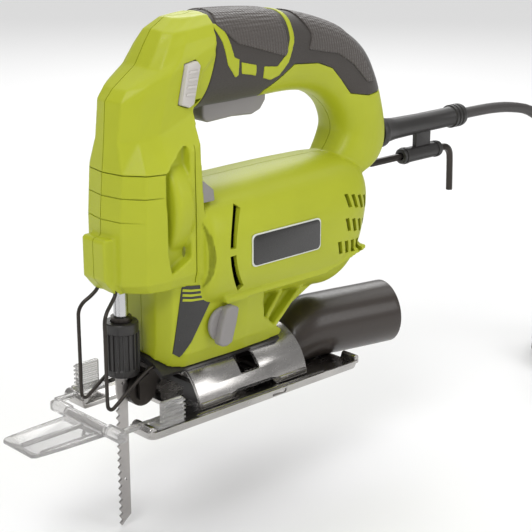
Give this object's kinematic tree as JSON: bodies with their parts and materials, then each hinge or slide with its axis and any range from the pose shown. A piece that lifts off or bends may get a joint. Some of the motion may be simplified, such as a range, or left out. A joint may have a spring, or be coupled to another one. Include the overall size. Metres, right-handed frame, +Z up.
{
  "type": "jigsaw power tool",
  "caption": "Corded jigsaw with an arched top handle, a geared plunger and blade, a bevelling steel shoe and a rear dust tube.",
  "frame": {"origin": "on the flat sole of the shoe, on the centre plane, 20 mm ahead of the shoe's centre", "axes": "+X forward, the way the saw cuts; +Y to the tool's left; +Z up from the sole"},
  "size_m": [0.5087, 0.127, 0.2666],
  "materials": {
    "lime_plastic": "moulded, fine grain",
    "soft_grip": "soft moulded, textured",
    "grey_plastic": "moulded, fine grain",
    "black_plastic": "moulded, satin",
    "black_nylon": "moulded",
    "label": "printed, glossy",
    "pressed_steel": "bright pressed sheet",
    "dark_steel": "blackened",
    "ground_steel": "ground",
    "blade_steel": "rolled and set",
    "laminated_steel": "laminated",
    "copper": "enamelled copper",
    "bronze": "sintered bronze",
    "clear_plastic": "clear polycarbonate",
    "carbon": "pressed carbon",
    "cord_rubber": "extruded sheath"
  },
  "bodies": {
    "housing": {"housing_left": "lime_plastic", "housing_right": "lime_plastic", "grip_left": "soft_grip", "grip_right": "soft_grip", "screw_head": "dark_steel", "screw_handle_top": "dark_steel", "screw_handle_rear": "dark_steel", "screw_motor_rear": "dark_steel", "screw_gearcase": "dark_steel", "badge_left": "label", "badge_right": "label", "base_frame": "black_plastic", "bevel_nut": "ground_steel", "bevel_bolt": "dark_steel", "washer_plate": "dark_steel", "roller_bracket": "dark_steel", "wire_guard": "dark_steel", "stator_core": "laminated_steel", "field_coil_left": "copper", "field_coil_right": "copper", "front_bearing": "ground_steel", "rear_bearing": "ground_steel", "brush_holder_left": "bronze", "brush_holder_right": "bronze", "brush_left": "carbon", "brush_right": "carbon", "gear_plate": "ground_steel", "gear_pin": "ground_steel", "upper_bush": "bronze", "lower_bush": "bronze", "switch_module": "black_nylon", "cable_clamp": "black_nylon", "cord_boot": "black_plastic", "cord": "cord_rubber", "cord_coil": "cord_rubber", "coil_tie": "black_plastic", "plug": "black_plastic"},
    "armature": {"armature_shaft": "ground_steel", "armature_core": "laminated_steel", "armature_winding": "copper", "commutator": "copper", "cooling_fan": "black_nylon"},
    "gear": {"drive_gear": "ground_steel", "crank_pin": "ground_steel"},
    "plunger": {"plunger_rod": "ground_steel", "yoke": "dark_steel", "clamp_core": "dark_steel", "blade": "blade_steel"},
    "blade_clamp": {"clamp_sleeve": "black_plastic"},
    "roller": {"guide_roller": "dark_steel"},
    "trigger": {"trigger": "grey_plastic"},
    "lock_button": {"lock_button": "grey_plastic"},
    "blower_knob": {"blower_knob": "grey_plastic"},
    "hex_key": {"hex_key": "dark_steel"},
    "shoe": {"shoe_plate": "pressed_steel", "shoe_saddle": "pressed_steel", "dust_hood": "black_plastic", "shield_carrier": "clear_plastic"},
    "shield": {"shield_flap": "clear_plastic"},
    "dust_tube": {"dust_tube": "black_plastic"}
  },
  "joints": [
    {"name": "gear_spin", "type": "hinge", "parent": "housing", "child": "gear", "pos_m": [0.02, 0, 0.11185], "axis": [1, 0, 0], "continuous": true},
    {"name": "armature_spin", "type": "hinge", "parent": "housing", "child": "armature", "pos_m": [-0.05, 0, 0.086], "axis": [1, 0, 0], "continuous": true},
    {"name": "plunger_stroke", "type": "slide", "parent": "housing", "child": "plunger", "axis": [0, 0, 1], "range_m": [0, 0.018]},
    {"name": "blade_clamp_twist", "type": "hinge", "parent": "plunger", "child": "blade_clamp", "pos_m": [0.043, 0, 0.04], "axis": [0, 0, 1], "range_deg": [0, 60], "stiffness_Nm_per_rad": 0.05},
    {"name": "roller_spin", "type": "hinge", "parent": "housing", "child": "roller", "pos_m": [0.0334, 0, 0.0125], "axis": [0, 1, 0], "continuous": true},
    {"name": "trigger_pull", "type": "hinge", "parent": "housing", "child": "trigger", "pos_m": [-0.046, 0, 0.16], "axis": [0, -1, 0], "range_deg": [0, 7], "stiffness_Nm_per_rad": 0.9, "springref_deg": -4.58},
    {"name": "lock_button_push", "type": "slide", "parent": "housing", "child": "lock_button", "axis": [0, -1, 0], "range_m": [0, 0.003], "stiffness_N_per_m": 500, "springref_m": -0.002},
    {"name": "blower_turn", "type": "hinge", "parent": "housing", "child": "blower_knob", "pos_m": [-0.0015, 0.0262, 0.0465], "axis": [0, 1, 0], "range_deg": [0, 60]},
    {"name": "key_pull", "type": "slide", "parent": "housing", "child": "hex_key", "axis": [-1, 0, 0], "range_m": [0, 0.06]},
    {"name": "shoe_bevel", "type": "hinge", "parent": "housing", "child": "shoe", "pos_m": [0, 0, 0], "axis": [1, 0, 0], "range_deg": [-45, 45]},
    {"name": "shield_flip", "type": "hinge", "parent": "shoe", "child": "shield", "pos_m": [0.0666, 0, 0.0034], "axis": [0, -1, 0], "range_deg": [0, 95]},
    {"name": "dust_tube_pull", "type": "slide", "parent": "shoe", "child": "dust_tube", "axis": [-1, 0, 0], "range_m": [0, 0.05]}
  ],
  "couplings": [
    {"joint": "armature_spin", "follows": "gear_spin", "ratio": -7}
  ]
}
